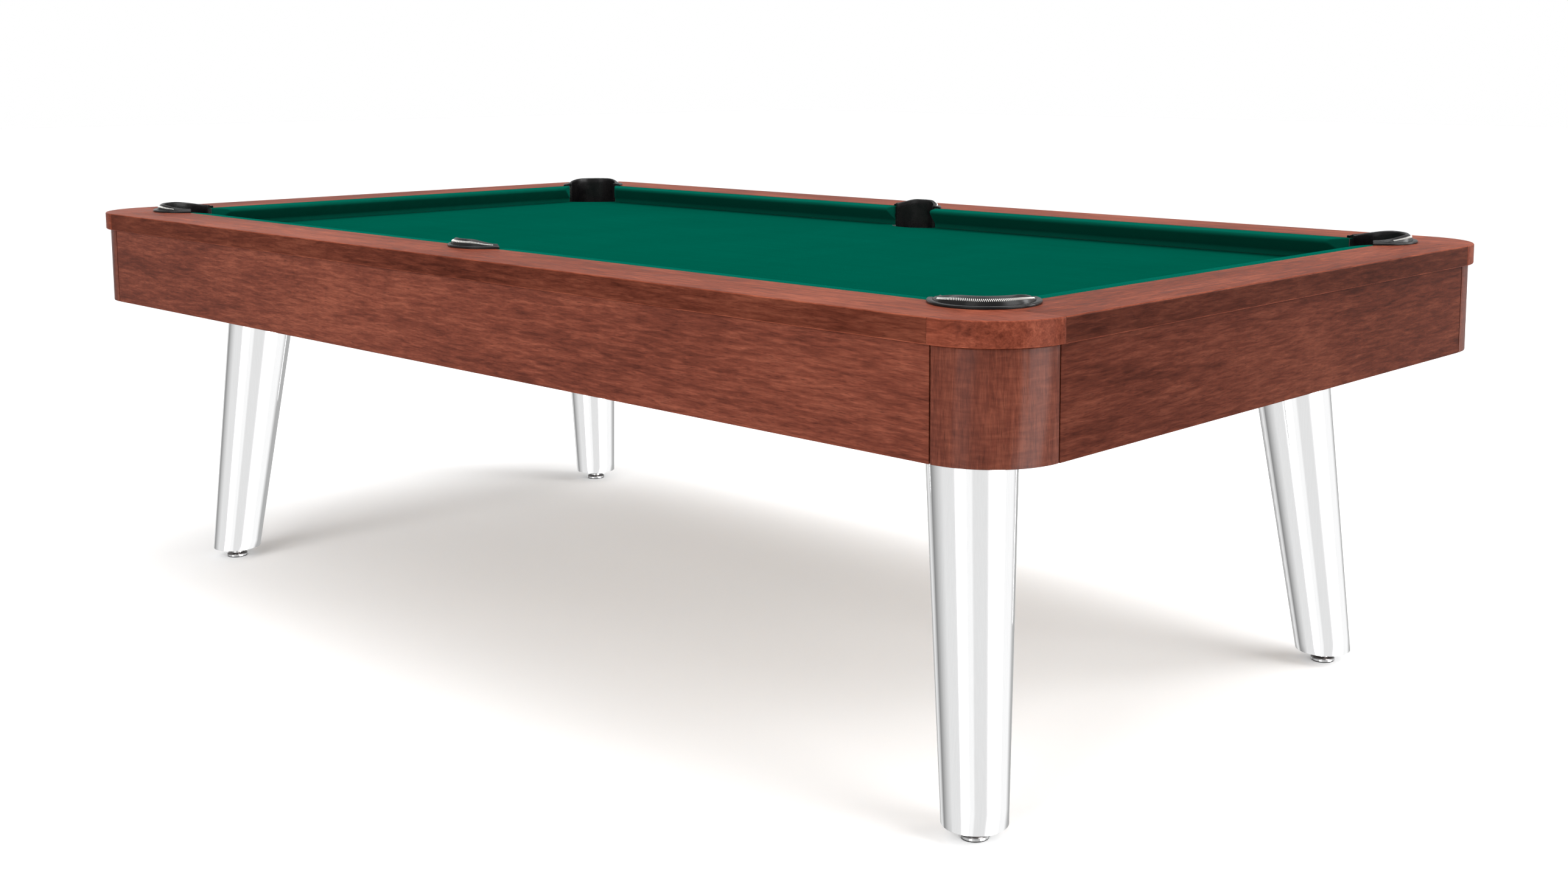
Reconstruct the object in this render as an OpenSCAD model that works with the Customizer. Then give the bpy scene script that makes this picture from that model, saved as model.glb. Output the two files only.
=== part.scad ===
// Eight-foot drop-pocket pool table: slate bed on a timber frame, wood rails and aprons,
// cloth-covered cushions, six leather pockets and four splayed tapered legs on levellers.
// X runs along the table, Y across it, Z up. The origin is on the floor under the centre.

/* [Playing field] */
// Length between the cushion noses
field_l = 2235; // [2232:1:2260]
// Width between the cushion noses
field_w = 1118; // [1116:1:1130]
// Height of the playing surface above the floor
bed_z = 739; // [730:1:760]

/* [Rails] */
// Cushion nose to the outer edge of the rail
rail_w = 162; // [161:1:163]
// Width of the bare wood on top of the rail, and radius of the rounded corners
wood_w = 125.5; // [125:0.5:126]
// Height of the rail top above the bed
rail_rise = 42; // [41:0.5:43]
// Height of the rail's outer face
fascia_h = 35.5; // [34:0.5:38]
// Radius of the rail's outer edges
edge_r = 2.5; // [1:0.5:4]
// Height of the cushion nose above the bed
nose_rise = 36; // [35:0.5:37]

/* [Bed] */
// Thickness of the bed cloth and of the cushion cloth
cloth_t = 1; // [0.8:0.1:1.2]
// Thickness of the slate
slate_t = 25.4; // [22:0.2:28]
// Thickness of the wood backing under the slate
liner_t = 19; // [16:1:22]
// How far the slate runs outwards past the cushion noses
slate_over = 76; // [74:1:78]

/* [Cabinet] */
// Height of the apron boards
apron_h = 154.5; // [150:0.5:160]
// Thickness of the apron boards
apron_t = 19; // [16:1:20]
// How far the rail overhangs the apron
overhang = 9; // [7:1:11]
// Width of the groove between an apron and a corner post
seam = 2.5; // [1:0.5:4]

/* [Legs] */
// Distance of a leg's top centre from both outer rail edges
leg_top_in = 268; // [267:1:270]
// Distance of a leg's foot centre from both outer rail edges
leg_foot_in = 209; // [200:1:220]
// Radius of a leg at its top
leg_top_r = 69.5; // [66:0.5:69.5]
// Radius of a leg at its foot
leg_foot_r = 49; // [44:1:54]
// Height of the leg's cut foot above the floor
foot_z = 22; // [20:1:26]
// Wall thickness of the hollow leg
leg_wall = 5; // [4:0.5:8]
// Radius of the leveller pad
pad_r = 21.5; // [18:0.5:26]
// Radius of the leveller stud
stud_r = 6; // [5:0.5:7]

/* [Pockets] */
// Radius of the pocket's leather lining
pocket_r = 57; // [56:0.5:57.5]
// Outer radius of the collar on a corner pocket
corner_collar_r = 78; // [77:0.5:80]
// Outer radius of the collar on a side pocket
side_collar_r = 75; // [74.5:0.5:78]
// Height of the collar's rim above the rail top
bead_rise = 16; // [14:1:18]
// Half of the angle that a corner collar spans
corner_span = 108; // [104:1:108]
// Half of the angle that a side collar spans
side_span = 66; // [62:1:66]
// Distance of a corner cushion's nose from where the nose lines cross
corner_mouth = 91; // [91:1:96]
// Half of the side pocket's opening between the cushion noses
side_mouth = 65; // [65:1:68]
// Height of the bucket's floor above the table's floor
bucket_z = 606; // [604:1:640]

/* [Hidden] */
$fn = 96;
eps = 0.05;
fit = 0.05;
table_l = field_l + 2 * rail_w;
table_w = field_w + 2 * rail_w;
rail_top = bed_z + rail_rise;
lip_z = rail_top - fascia_h;
nose_z = bed_z + nose_rise;
slate_top = bed_z - cloth_t;
liner_top = slate_top - slate_t;
frame_top = liner_top - liner_t;
slate_in = rail_w - slate_over;
slate_l = table_l - 2 * slate_in;
slate_w = table_w - 2 * slate_in;
slate_gap = 0.6;
// The rail's wood steps down onto the bed just inside the slate's edge
step_in = slate_in + 2;
joint_gap = 0.4;
// Cushion section: cloth runs from the wood, over the rubber's nose, down to the bed
groove_w = 8;
groove_d = 8;
back_in = wood_w + groove_w + 2.5;
cushion_top = rail_top - 0.2;
nose_r = 4;
under_z = bed_z + 10;
facing_t = 4;
corner_slope = tan(52);
side_slope = tan(14);
// Leather, iron and wood around a pocket, from the inside out
leather_t = 3;
iron_t = 3.3;
skirt_r = pocket_r + leather_t;
iron_in_r = skirt_r + 0.2;
iron_r = iron_in_r + iron_t;
wood_hole_r = iron_r + 0.5;
slate_hole_r = skirt_r + 1;
corner_shelf = 27;
corner_lip_r = 230;
side_shelf = 12;
side_lip_r = 75;
bucket_top = frame_top - 3.6;
iron_flange_t = 1.2;
head_t = 1;
flange_z = rail_top + iron_flange_t + head_t + 0.1;
flange_t = 2.2;
flange_lip = 3.4;
bead_w = 12;
rim_r = 3.2;
slope_r = 10;
screw_r = 2;
screw_ring_r = 68;
screw_l = 24;
// Frame
beam_h = 60;
beam_t = 45;
beam_in = 226;
bolster_h = 30;
bolster_w = 176;
plate_t = 6;
plate_r = 88.5;
bolt_ring_r = 80;
bolt_r = 4;
beam_z = frame_top - beam_h;
bolster_z = beam_z - bolster_h;
leg_top_z = bolster_z - plate_t;
apron_top = lip_z - 1;
apron_z = apron_top - apron_h;
post_r = wood_w - overhang;
post_t = 22;
tongue_l = 30;
tongue_t = 15;
bracket_w = 40;
bracket_t = 3;
// Leg
leg_shift = (leg_top_in - leg_foot_in) * sqrt(2);
leg_rise = leg_top_z - foot_z;
leg_tilt = atan(leg_shift / leg_rise);
leg_len = norm([leg_shift, leg_rise]);
leg_ext = 30;
leg_taper = (leg_top_r - leg_foot_r) / leg_len;
boss_h = 36;
cap_h = 8;
insert_r = 11;
insert_l = 30;
pad_h = 12;
pad_sole = 2;
pad_rim = 7;
pad_seat_z = 4;
stud_top = foot_z + 50;
hex_r = 11;
// Rail bolts come up through the slate into the rail
rail_bolt_in = 110;
rail_bolt_r = 5;
slate_screw_r = 3;
SIDE_BOLTS = [0.2, 0.5, 0.8];
CORNERS = [[-1, -1], [1, -1], [-1, 1], [1, 1]];
seam_x = slate_l / 6;

// ---- places: inside these, X and Y are distances inwards from the table's outer edges ----

// One corner: both X and Y point inwards
module at_corner(sx, sy) {
    translate([sx * table_l / 2, sy * table_w / 2, 0])
        mirror([sx > 0 ? 1 : 0, 0, 0])
            mirror([0, sy > 0 ? 1 : 0, 0])
                children();
}

// One long side: X along the table from its middle, Y inwards
module on_side(sy) {
    translate([0, sy * table_w / 2, 0])
        mirror([0, sy > 0 ? 1 : 0, 0])
            children();
}

// One end: X across the table from its middle, Y inwards
module on_end(sx) {
    translate([sx * table_l / 2, 0, 0])
        mirror([sx > 0 ? 1 : 0, 0, 0])
            rotate([0, 0, -90])
                children();
}

// A corner pocket's centre, with +X pointing outwards along the diagonal
module corner_pocket(sx, sy) {
    at_corner(sx, sy)
        translate([rail_w, rail_w, 0])
            rotate([0, 0, 225])
                children();
}

// A side pocket's centre, with +X pointing outwards
module side_pocket(sy) {
    on_side(sy)
        translate([0, rail_w, 0])
            rotate([0, 0, -90])
                children();
}

// Every pocket; the child sees is_side
module all_pockets() {
    for (c = CORNERS)
        corner_pocket(c[0], c[1]) {
            $is_side = false;
            children();
        }
    for (sy = [-1, 1])
        side_pocket(sy) {
            $is_side = true;
            children();
        }
}

// A section drawn as (distance inwards, height), run along a rail of the given length
module run(length) {
    rotate([90, 0, 90])
        linear_extrude(length, center = true)
            children();
}

function arc(c, r, a0, a1, n = 6) =
    [for (i = [0:n]) let (a = a0 + (a1 - a0) * i / n) c + r * [cos(a), sin(a)]];

// ---- pocket openings ----

// Plan of the hole through the slate: round at the back, a flatter lip towards the field
module slate_hole_plan(shelf, lip_r) {
    intersection() {
        circle(r = slate_hole_r);
        translate([lip_r - shelf, 0])
            circle(r = lip_r);
    }
}

module slate_holes(z, h) {
    for (c = CORNERS)
        corner_pocket(c[0], c[1])
            translate([0, 0, z])
                linear_extrude(h)
                    slate_hole_plan(corner_shelf, corner_lip_r);
    for (sy = [-1, 1])
        side_pocket(sy)
            translate([0, 0, z])
                linear_extrude(h)
                    slate_hole_plan(side_shelf, side_lip_r);
}

function screw_angles(side) = side ? [-50, 0, 50] : [-85, -45, 0, 45, 85];

module screw_ring(side, r, z, h) {
    for (a = screw_angles(side))
        rotate([0, 0, a])
            translate([screw_ring_r, 0, z])
                cylinder(r = r, h = h);
}

// What a pocket takes out of the wood around it
module wood_bite(side) {
    translate([0, 0, bed_z - 1])
        cylinder(r = wood_hole_r, h = rail_rise + 2);
    screw_ring(side, screw_r + fit, rail_top - screw_l, screw_l + 1);
}

// ---- legs and levellers ----

// Leg cone of the given wall offset, tilted, before its ends are cut level
module leg_cone(inset) {
    translate([leg_foot_in, leg_foot_in, foot_z])
        rotate([0, leg_tilt, 45])
            translate([0, 0, -leg_ext])
                cylinder(
                    r1 = leg_foot_r - inset - leg_taper * leg_ext,
                    r2 = leg_top_r - inset + leg_taper * leg_ext,
                    h = leg_len + 2 * leg_ext
                );
}

module level_slice(z0, z1) {
    translate([0, 0, z0])
        cube([400, 400, z1 - z0]);
}

module leg(sx, sy) {
    color("whitesmoke")
        at_corner(sx, sy)
            difference() {
                intersection() {
                    leg_cone(0);
                    level_slice(foot_z, leg_top_z);
                }
                intersection() {
                    leg_cone(leg_wall);
                    level_slice(foot_z + boss_h, leg_top_z - cap_h);
                }
                translate([leg_foot_in, leg_foot_in, foot_z - 1]) {
                    cylinder(r = insert_r + fit, h = insert_l + 1 + fit);
                    cylinder(r = stud_r + 2, h = boss_h + 2);
                }
            }
}

module at_foot(sx, sy) {
    at_corner(sx, sy)
        translate([leg_foot_in, leg_foot_in, 0])
            children();
}

module leveller_inserts() {
    color("silver")
        for (c = CORNERS)
            at_foot(c[0], c[1])
                translate([0, 0, foot_z])
                    difference() {
                        cylinder(r = insert_r, h = insert_l);
                        translate([0, 0, -1])
                            cylinder(r = stud_r + fit, h = insert_l + 2);
                    }
}

// Round pad that stands on the floor on a thin sole; the stud turns in its seat
module leveller_pad(sx, sy) {
    color("dimgray")
        at_foot(sx, sy)
            rotate_extrude()
                polygon([
                    [0, 0], [pad_r - 0.8, 0], [pad_r - 0.8, pad_sole], [pad_r, pad_sole],
                    [pad_r, pad_rim - 1.5], [pad_r - 1.5, pad_rim], [hex_r + 1, pad_rim + 1.5], [hex_r, pad_h],
                    [stud_r + fit, pad_h], [stud_r + fit, pad_seat_z], [0, pad_seat_z]
                ]);
}

// Threaded stud with a hexagon that a spanner turns
module leveller_stud(sx, sy) {
    color("silver")
        at_foot(sx, sy) {
            translate([0, 0, pad_seat_z + fit])
                cylinder(r = stud_r, h = stud_top - pad_seat_z - fit);
            translate([0, 0, pad_h + 0.3])
                cylinder(r = hex_r, h = foot_z - pad_h - 0.3 - fit, $fn = 6);
        }
}

module at_leg_top(sx, sy) {
    at_corner(sx, sy)
        translate([leg_top_in, leg_top_in, 0])
            children();
}

module leg_bolt_ring(r, z, h) {
    for (a = [0:90:270])
        rotate([0, 0, a])
            translate([bolt_ring_r, 0, z])
                cylinder(r = r, h = h);
}

module leg_plates() {
    color("gray")
        for (c = CORNERS)
            at_leg_top(c[0], c[1])
                difference() {
                    translate([0, 0, leg_top_z])
                        cylinder(r = plate_r, h = plate_t);
                    leg_bolt_ring(bolt_r + 0.5, leg_top_z - 1, plate_t + 2);
                }
}

module leg_bolts() {
    shank = 32;
    head = 5.3;
    color("silver")
        for (c = CORNERS)
            at_leg_top(c[0], c[1]) {
                leg_bolt_ring(bolt_r, leg_top_z - eps, shank);
                for (a = [0:90:270])
                    rotate([0, 0, a])
                        translate([bolt_ring_r, 0, leg_top_z - head])
                            cylinder(r = 7.5, h = head, $fn = 6);
            }
}

// Timber block over each leg plate, scooped out to clear the pocket bucket
module leg_bolsters() {
    color("burlywood")
        for (c = CORNERS)
            difference() {
                at_leg_top(c[0], c[1])
                    difference() {
                        translate([-bolster_w / 2, -bolster_w / 2, bolster_z])
                            cube([bolster_w, bolster_w, bolster_h]);
                        leg_bolt_ring(bolt_r + fit, bolster_z - 1, 32 - plate_t + 1 + fit);
                    }
                corner_pocket(c[0], c[1])
                    translate([0, 0, bolster_z - 1])
                        cylinder(r = skirt_r + 3, h = bolster_h + 2);
            }
}

// ---- frame ----

module frame_long_beams() {
    length = table_l - 2 * beam_in;
    color("burlywood")
        for (sy = [-1, 1])
            on_side(sy)
                difference() {
                    translate([-length / 2, beam_in, beam_z])
                        cube([length, beam_t, beam_h]);
                    slate_screw_row(slate_screw_r + fit);
                }
}

module frame_cross_beams() {
    length = table_w - 2 * (beam_in + beam_t);
    end_x = table_l / 2 - beam_in - beam_t / 2;
    color("burlywood")
        for (x = [-end_x, -seam_x, 0, seam_x, end_x])
            translate([x - beam_t / 2, -length / 2, beam_z])
                cube([beam_t, length, beam_h]);
}

// ---- bed ----

// Countersunk screws down through the slate into a long beam: two near each end of each slate
SCREW_X = [for (i = [-1, 0, 1]) for (s = [-1, 1]) i * slate_l / 3 + s * slate_l / 9];

module slate_screw_row(r) {
    for (x = SCREW_X)
        translate([x, beam_in + beam_t / 2, beam_z + 12])
            cylinder(r = r, h = slate_top - beam_z - 12);
}

module slate_screw_heads(extra) {
    for (x = SCREW_X)
        translate([x, beam_in + beam_t / 2, slate_top - 4])
            cylinder(r1 = slate_screw_r + extra, r2 = slate_screw_r + 4 + extra, h = 4);
}

module slate_screws() {
    color("silver")
        for (sy = [-1, 1])
            on_side(sy) {
                slate_screw_row(slate_screw_r);
                slate_screw_heads(0);
            }
}

// Positions of the rail bolts along a cushion that runs from a to b
function bolt_places(a, b) = [for (f = SIDE_BOLTS) a + (b - a) * f];
long_bolts = bolt_places(side_mouth + 30, table_l / 2 - rail_w - corner_mouth - 30);
end_bolts = bolt_places(-(table_w / 2 - rail_w - corner_mouth), table_w / 2 - rail_w - corner_mouth);

module rail_bolt_row(places, r, z, h) {
    for (x = places)
        translate([x, rail_bolt_in, z])
            cylinder(r = r, h = h);
}

module all_rail_bolts(r, z, h) {
    for (sy = [-1, 1])
        on_side(sy) {
            rail_bolt_row(long_bolts, r, z, h);
            rail_bolt_row(-long_bolts, r, z, h);
        }
    for (sx = [-1, 1])
        on_end(sx)
            rail_bolt_row(end_bolts, r, z, h);
}

module slate(i) {
    length = slate_l / 3 - slate_gap;
    color("slategray")
        difference() {
            translate([i * slate_l / 3 - length / 2, -slate_w / 2, liner_top])
                cube([length, slate_w, slate_t]);
            slate_holes(liner_top - 1, slate_t + 2);
            all_rail_bolts(rail_bolt_r + 1, liner_top - 1, slate_t + 2);
            for (sy = [-1, 1])
                on_side(sy) {
                    slate_screw_row(slate_screw_r + 0.5);
                    slate_screw_heads(0.5);
                }
        }
}

// Plywood strips glued under the slates: along both sides, and across at every slate's ends
module slate_liners() {
    strip_in = beam_in + beam_t + 4;
    length = slate_l / 3 - slate_gap;
    cross = table_w - 2 * strip_in;
    end_w = strip_in - slate_in;
    color("tan")
        difference() {
            union() {
                for (i = [-1, 0, 1]) {
                    for (sy = [-1, 1])
                        on_side(sy)
                            translate([i * slate_l / 3 - length / 2, slate_in, frame_top])
                                cube([length, end_w, liner_t]);
                    for (s = [-1, 1]) {
                        w = (i == s) ? end_w : 60;
                        translate([i * slate_l / 3 + s * (length - w) / 2 - w / 2, -cross / 2, frame_top])
                            cube([w, cross, liner_t]);
                    }
                }
            }
            all_pockets()
                translate([0, 0, frame_top - 1])
                    cylinder(r = skirt_r + 3, h = liner_t + 2);
            all_rail_bolts(rail_bolt_r + 1, frame_top - 1, liner_t + 2);
            for (sy = [-1, 1])
                on_side(sy)
                    slate_screw_row(slate_screw_r + fit);
        }
}

// Cloth stretched over the slates
module bed_cloth() {
    color("seagreen")
        difference() {
            translate([-slate_l / 2, -slate_w / 2, slate_top])
                cube([slate_l, slate_w, cloth_t]);
            slate_holes(slate_top - 1, cloth_t + 2);
            all_rail_bolts(rail_bolt_r + 1, slate_top - 1, cloth_t + 2);
        }
}

// ---- cabinet ----

module apron_board(length) {
    run(length)
        polygon([
            [overhang, apron_z], [overhang + apron_t, apron_z],
            [overhang + apron_t, apron_top], [overhang, apron_top]
        ]);
}

module apron_long(sy) {
    color("sienna")
        on_side(sy)
            apron_board(table_l - 2 * (wood_w + seam));
}

module apron_short(sx) {
    color("sienna")
        on_end(sx)
            apron_board(table_w - 2 * (wood_w + seam));
}

// Steel angle between an apron's back and the rail's underside
module bracket(x) {
    arm = 40;
    translate([x - bracket_w / 2, overhang + apron_t, lip_z - bracket_t])
        cube([bracket_w, arm, bracket_t]);
    translate([x - bracket_w / 2, overhang + apron_t, lip_z - arm])
        cube([bracket_w, bracket_t, arm - bracket_t + eps]);
}

module apron_brackets() {
    color("gray") {
        for (sy = [-1, 1])
            on_side(sy)
                for (x = [-900, -400, 400, 900])
                    bracket(x);
        for (sx = [-1, 1])
            on_end(sx)
                for (x = [-300, 300])
                    bracket(x);
    }
}

// Quarter-round post with a tongue behind each neighbouring apron
module corner_post(sx, sy) {
    tongue_in = overhang + apron_t + 0.3;
    color("brown")
        at_corner(sx, sy)
            translate([0, 0, apron_z])
                linear_extrude(apron_h)
                    union() {
                        difference() {
                            translate([wood_w, wood_w])
                                intersection() {
                                    circle(r = post_r);
                                    translate([-2 * post_r, -2 * post_r])
                                        square(2 * post_r);
                                }
                            translate([wood_w, wood_w])
                                circle(r = post_r - post_t);
                        }
                        translate([wood_w - 20, tongue_in])
                            square([20 + tongue_l, tongue_t]);
                        translate([tongue_in, wood_w - 20])
                            square([tongue_t, 20 + tongue_l]);
                    }
}

// ---- rails ----

// Outer part of the rail's section, with rounded outer edges; ends at the inner distance given
function rail_outline(inner) = concat(
    arc([edge_r, lip_z + edge_r], edge_r, 270, 180),
    arc([edge_r, rail_top - edge_r], edge_r, 180, 90),
    [[inner, rail_top]]
);

module rail_section() {
    polygon(concat(
        rail_outline(wood_w),
        [
            [wood_w, rail_top - groove_d], [wood_w + groove_w, rail_top - groove_d],
            [wood_w + groove_w, cushion_top - cloth_t], [back_in, cushion_top - cloth_t],
            [back_in, bed_z], [step_in, bed_z], [step_in, lip_z]
        ]
    ));
}

module rail(length) {
    run(length - 2 * (wood_w + joint_gap))
        rail_section();
}

module rail_bolt_holes(places) {
    rail_bolt_row(places, rail_bolt_r + fit, bed_z - 1, rail_rise - 11);
}

module rail_long(sy) {
    color("brown")
        difference() {
            on_side(sy)
                difference() {
                    rail(table_l);
                    rail_bolt_holes(long_bolts);
                    rail_bolt_holes(-long_bolts);
                }
            side_pocket(sy)
                wood_bite(true);
            for (sx = [-1, 1])
                corner_pocket(sx, sy)
                    wood_bite(false);
        }
}

module rail_short(sx) {
    color("brown")
        difference() {
            on_end(sx)
                difference() {
                    rail(table_w);
                    rail_bolt_holes(end_bolts);
                }
            for (sy = [-1, 1])
                corner_pocket(sx, sy)
                    wood_bite(false);
        }
}

module rail_bolts() {
    head_h = 6.4;
    head_r = 9;
    color("silver") {
        all_rail_bolts(rail_bolt_r, frame_top - eps, bed_z + 29 - frame_top);
        all_rail_bolts(head_r, frame_top - head_h, head_h);
    }
}

// Rounded block at each corner of the rails, scooped out by the pocket
module rail_corner(sx, sy) {
    color("saddlebrown")
        difference() {
            at_corner(sx, sy)
                translate([wood_w, wood_w, 0])
                    rotate([0, 0, 180])
                        rotate_extrude(angle = 90)
                            polygon([
                                for (p = concat(
                                    rail_outline(wood_w),
                                    [[wood_w, bed_z], [step_in, bed_z], [step_in, lip_z]]
                                ))
                                [wood_w - p[0], p[1]]
                            ]);
            corner_pocket(sx, sy)
                wood_bite(false);
        }
}

// ---- cushions ----

// Path of the cushion cloth's face, lifted off the rubber by t: from the wood to the bed
function cover_path(t) = concat(
    [[wood_w, cushion_top - cloth_t + t], [back_in, cushion_top - cloth_t + t]],
    arc([rail_w - cloth_t - nose_r, nose_z - 1], nose_r + t, 80, -35, 8),
    [[back_in + t, under_z - t], [back_in + t, bed_z]]
);

function reversed(list) = [for (i = [len(list) - 1:-1:0]) list[i]];

module rubber_section() {
    path = cover_path(0);
    polygon([for (i = [1:len(path) - 2]) path[i]]);
}

module cover_section() {
    polygon(concat(cover_path(cloth_t), reversed(cover_path(0))));
}

// Plan of a cushion: a and b are its ends at the nose line, and each end runs outwards at its slope
module cushion_plan(a, slope_a, b, slope_b, trim) {
    far = 50;
    near = 5;
    ta = trim * norm([1, slope_a]);
    tb = trim * norm([1, slope_b]);
    polygon([
        [a + ta - slope_a * far, rail_w - far], [b - tb + slope_b * far, rail_w - far],
        [b - tb - slope_b * near, rail_w + near], [a + ta + slope_a * near, rail_w + near]
    ]);
}

long_end = table_l / 2 - rail_w - corner_mouth;
short_end = table_w / 2 - rail_w - corner_mouth;

module long_plan(trim) {
    cushion_plan(side_mouth, side_slope, long_end, corner_slope, trim);
}

module short_plan(trim) {
    cushion_plan(-short_end, corner_slope, short_end, corner_slope, trim);
}

module tall() {
    translate([0, 0, bed_z - 5])
        linear_extrude(rail_rise + 10)
            children();
}

// One of the four cushions along the sides
module cushion_long(sx, sy) {
    color("darkgreen")
        mirror([sx < 0 ? 1 : 0, 0, 0])
            on_side(sy)
                intersection() {
                    run(table_l)
                        rubber_section();
                    tall()
                        long_plan(facing_t);
                }
}

module cushion_short(sx) {
    color("darkgreen")
        on_end(sx)
            intersection() {
                run(table_w)
                    rubber_section();
                tall()
                    short_plan(facing_t);
            }
}

// Rubber facings glued to the cushion ends
module facing_pair(section_l) {
    intersection() {
        run(section_l)
            rubber_section();
        tall()
            children();
    }
}

module pocket_facings() {
    color("dimgray") {
        for (m = [0, 1])
            mirror([m, 0, 0])
                for (sy = [-1, 1])
                    on_side(sy)
                        facing_pair(table_l)
                            difference() {
                                long_plan(0);
                                long_plan(facing_t - eps);
                            }
        for (sx = [-1, 1])
            on_end(sx)
                facing_pair(table_w)
                    difference() {
                        short_plan(0);
                        short_plan(facing_t - eps);
                    }
    }
}

// Thin cloth over each cushion, from the feather strip to the bed, cut round at the pockets
module cushion_cloths() {
    color("green")
        difference() {
            union() {
                for (m = [0, 1])
                    mirror([m, 0, 0])
                        for (sy = [-1, 1])
                            on_side(sy)
                                intersection() {
                                    run(table_l)
                                        cover_section();
                                    tall()
                                        long_plan(0);
                                }
                for (sx = [-1, 1])
                    on_end(sx)
                        intersection() {
                            run(table_w)
                                cover_section();
                            tall()
                                short_plan(0);
                        }
            }
            all_pockets()
                translate([0, 0, bed_z - 1])
                    cylinder(r = wood_hole_r, h = rail_rise + 2);
        }
}

// Wood strips that hold the cushion cloth in the rail's groove
module feather_strips() {
    gap = 0.4;
    strip_w = groove_w - 2 * gap;
    strip_h = groove_d - gap - (rail_top - cushion_top) - cloth_t;
    color("peru") {
        for (m = [0, 1])
            mirror([m, 0, 0])
                for (sy = [-1, 1])
                    on_side(sy)
                        translate([side_mouth + 6, wood_w + gap, rail_top - groove_d + gap])
                            cube([long_end + 25 - side_mouth - 6, strip_w, strip_h]);
        for (sx = [-1, 1])
            on_end(sx)
                translate([-short_end - 25, wood_w + gap, rail_top - groove_d + gap])
                    cube([2 * short_end + 50, strip_w, strip_h]);
    }
}

// ---- pockets ----

// Section of the leather: skirt inside the pocket, rounded rim, outer slope, and a flange on the wood
module collar_section(collar_r) {
    rim_c = [pocket_r + rim_r, rail_top + bead_rise - rim_r];
    flange_top = flange_z + flange_t;
    slope_c = [pocket_r + bead_w - slope_r, flange_top + 1];
    polygon(concat(
        [[pocket_r, bucket_top]],
        arc(rim_c, rim_r, 180, 50, 8),
        arc(slope_c, slope_r, 50, 0, 6),
        [
            [pocket_r + bead_w, flange_top], [collar_r - 1.5, flange_top],
            [collar_r, flange_z + 0.5], [collar_r, rail_top], [collar_r - flange_lip, rail_top],
            [collar_r - flange_lip, flange_z], [skirt_r, flange_z], [skirt_r, bucket_top]
        ]
    ));
}

module swept(span) {
    rotate([0, 0, -span])
        rotate_extrude(angle = 2 * span)
            children();
}

module collar_corner(sx, sy) {
    color("black")
        corner_pocket(sx, sy)
            swept(corner_span)
                collar_section(corner_collar_r);
}

module collar_side(sy) {
    color("black")
        side_pocket(sy)
            swept(side_span)
                collar_section(side_collar_r);
}

// Iron that stiffens a pocket: a band inside the wood with a thin flange on top of it
module iron(side) {
    collar_r = side ? side_collar_r : corner_collar_r;
    span = side ? side_span : corner_span;
    flange_r = collar_r - flange_lip - 0.3;
    flange_top = rail_top + iron_flange_t;
    difference() {
        swept(span - 4)
            polygon([
                [iron_in_r, bed_z + 2], [iron_r, bed_z + 2], [iron_r, rail_top],
                [flange_r, rail_top], [flange_r, flange_top], [iron_in_r, flange_top]
            ]);
        screw_ring(side, screw_r + fit, rail_top - 1, iron_flange_t + 2);
    }
}

module pocket_irons() {
    color("darkslategray")
        all_pockets()
            iron($is_side);
}

module pocket_screws() {
    color("silver")
        all_pockets() {
            screw_ring($is_side, screw_r, rail_top - screw_l + 1, screw_l - 1 + iron_flange_t + eps);
            screw_ring($is_side, 3.6, rail_top + iron_flange_t, head_t);
        }
}

// Leather cup that catches the balls, hanging under the collar's skirt
module pocket_buckets() {
    round_r = 18;
    inner_r = round_r - leather_t;
    color("black")
        all_pockets()
            rotate_extrude()
                polygon(concat(
                    [[0, bucket_z]],
                    arc([skirt_r - round_r, bucket_z + round_r], round_r, 270, 360),
                    [[skirt_r, bucket_top], [pocket_r, bucket_top]],
                    arc([skirt_r - round_r, bucket_z + round_r], inner_r, 360, 270),
                    [[0, bucket_z + leather_t]]
                ));
}

leg(-1, -1);  // leg_front_left
leg(1, -1);  // leg_front_right
leg(-1, 1);  // leg_back_left
leg(1, 1);  // leg_back_right
leveller_pad(-1, -1);  // leveller_pad_front_left
leveller_pad(1, -1);  // leveller_pad_front_right
leveller_pad(-1, 1);  // leveller_pad_back_left
leveller_pad(1, 1);  // leveller_pad_back_right
leveller_stud(-1, -1);  // leveller_stud_front_left
leveller_stud(1, -1);  // leveller_stud_front_right
leveller_stud(-1, 1);  // leveller_stud_back_left
leveller_stud(1, 1);  // leveller_stud_back_right
leveller_inserts();
leg_plates();
leg_bolts();
leg_bolsters();
frame_long_beams();
frame_cross_beams();
slate(-1);  // slate_left
slate(0);  // slate_middle
slate(1);  // slate_right
slate_liners();
slate_screws();
bed_cloth();
apron_long(-1);  // apron_front
apron_long(1);  // apron_back
apron_short(-1);  // apron_left
apron_short(1);  // apron_right
apron_brackets();
corner_post(-1, -1);  // corner_post_front_left
corner_post(1, -1);  // corner_post_front_right
corner_post(-1, 1);  // corner_post_back_left
corner_post(1, 1);  // corner_post_back_right
rail_long(-1);  // rail_front
rail_long(1);  // rail_back
rail_short(-1);  // rail_left
rail_short(1);  // rail_right
rail_bolts();
rail_corner(-1, -1);  // rail_corner_front_left
rail_corner(1, -1);  // rail_corner_front_right
rail_corner(-1, 1);  // rail_corner_back_left
rail_corner(1, 1);  // rail_corner_back_right
cushion_long(-1, -1);  // cushion_front_left
cushion_long(1, -1);  // cushion_front_right
cushion_long(-1, 1);  // cushion_back_left
cushion_long(1, 1);  // cushion_back_right
cushion_short(-1);  // cushion_left
cushion_short(1);  // cushion_right
cushion_cloths();
pocket_facings();
feather_strips();
collar_corner(-1, -1);  // pocket_collar_front_left
collar_side(-1);  // pocket_collar_front_middle
collar_corner(1, -1);  // pocket_collar_front_right
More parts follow.
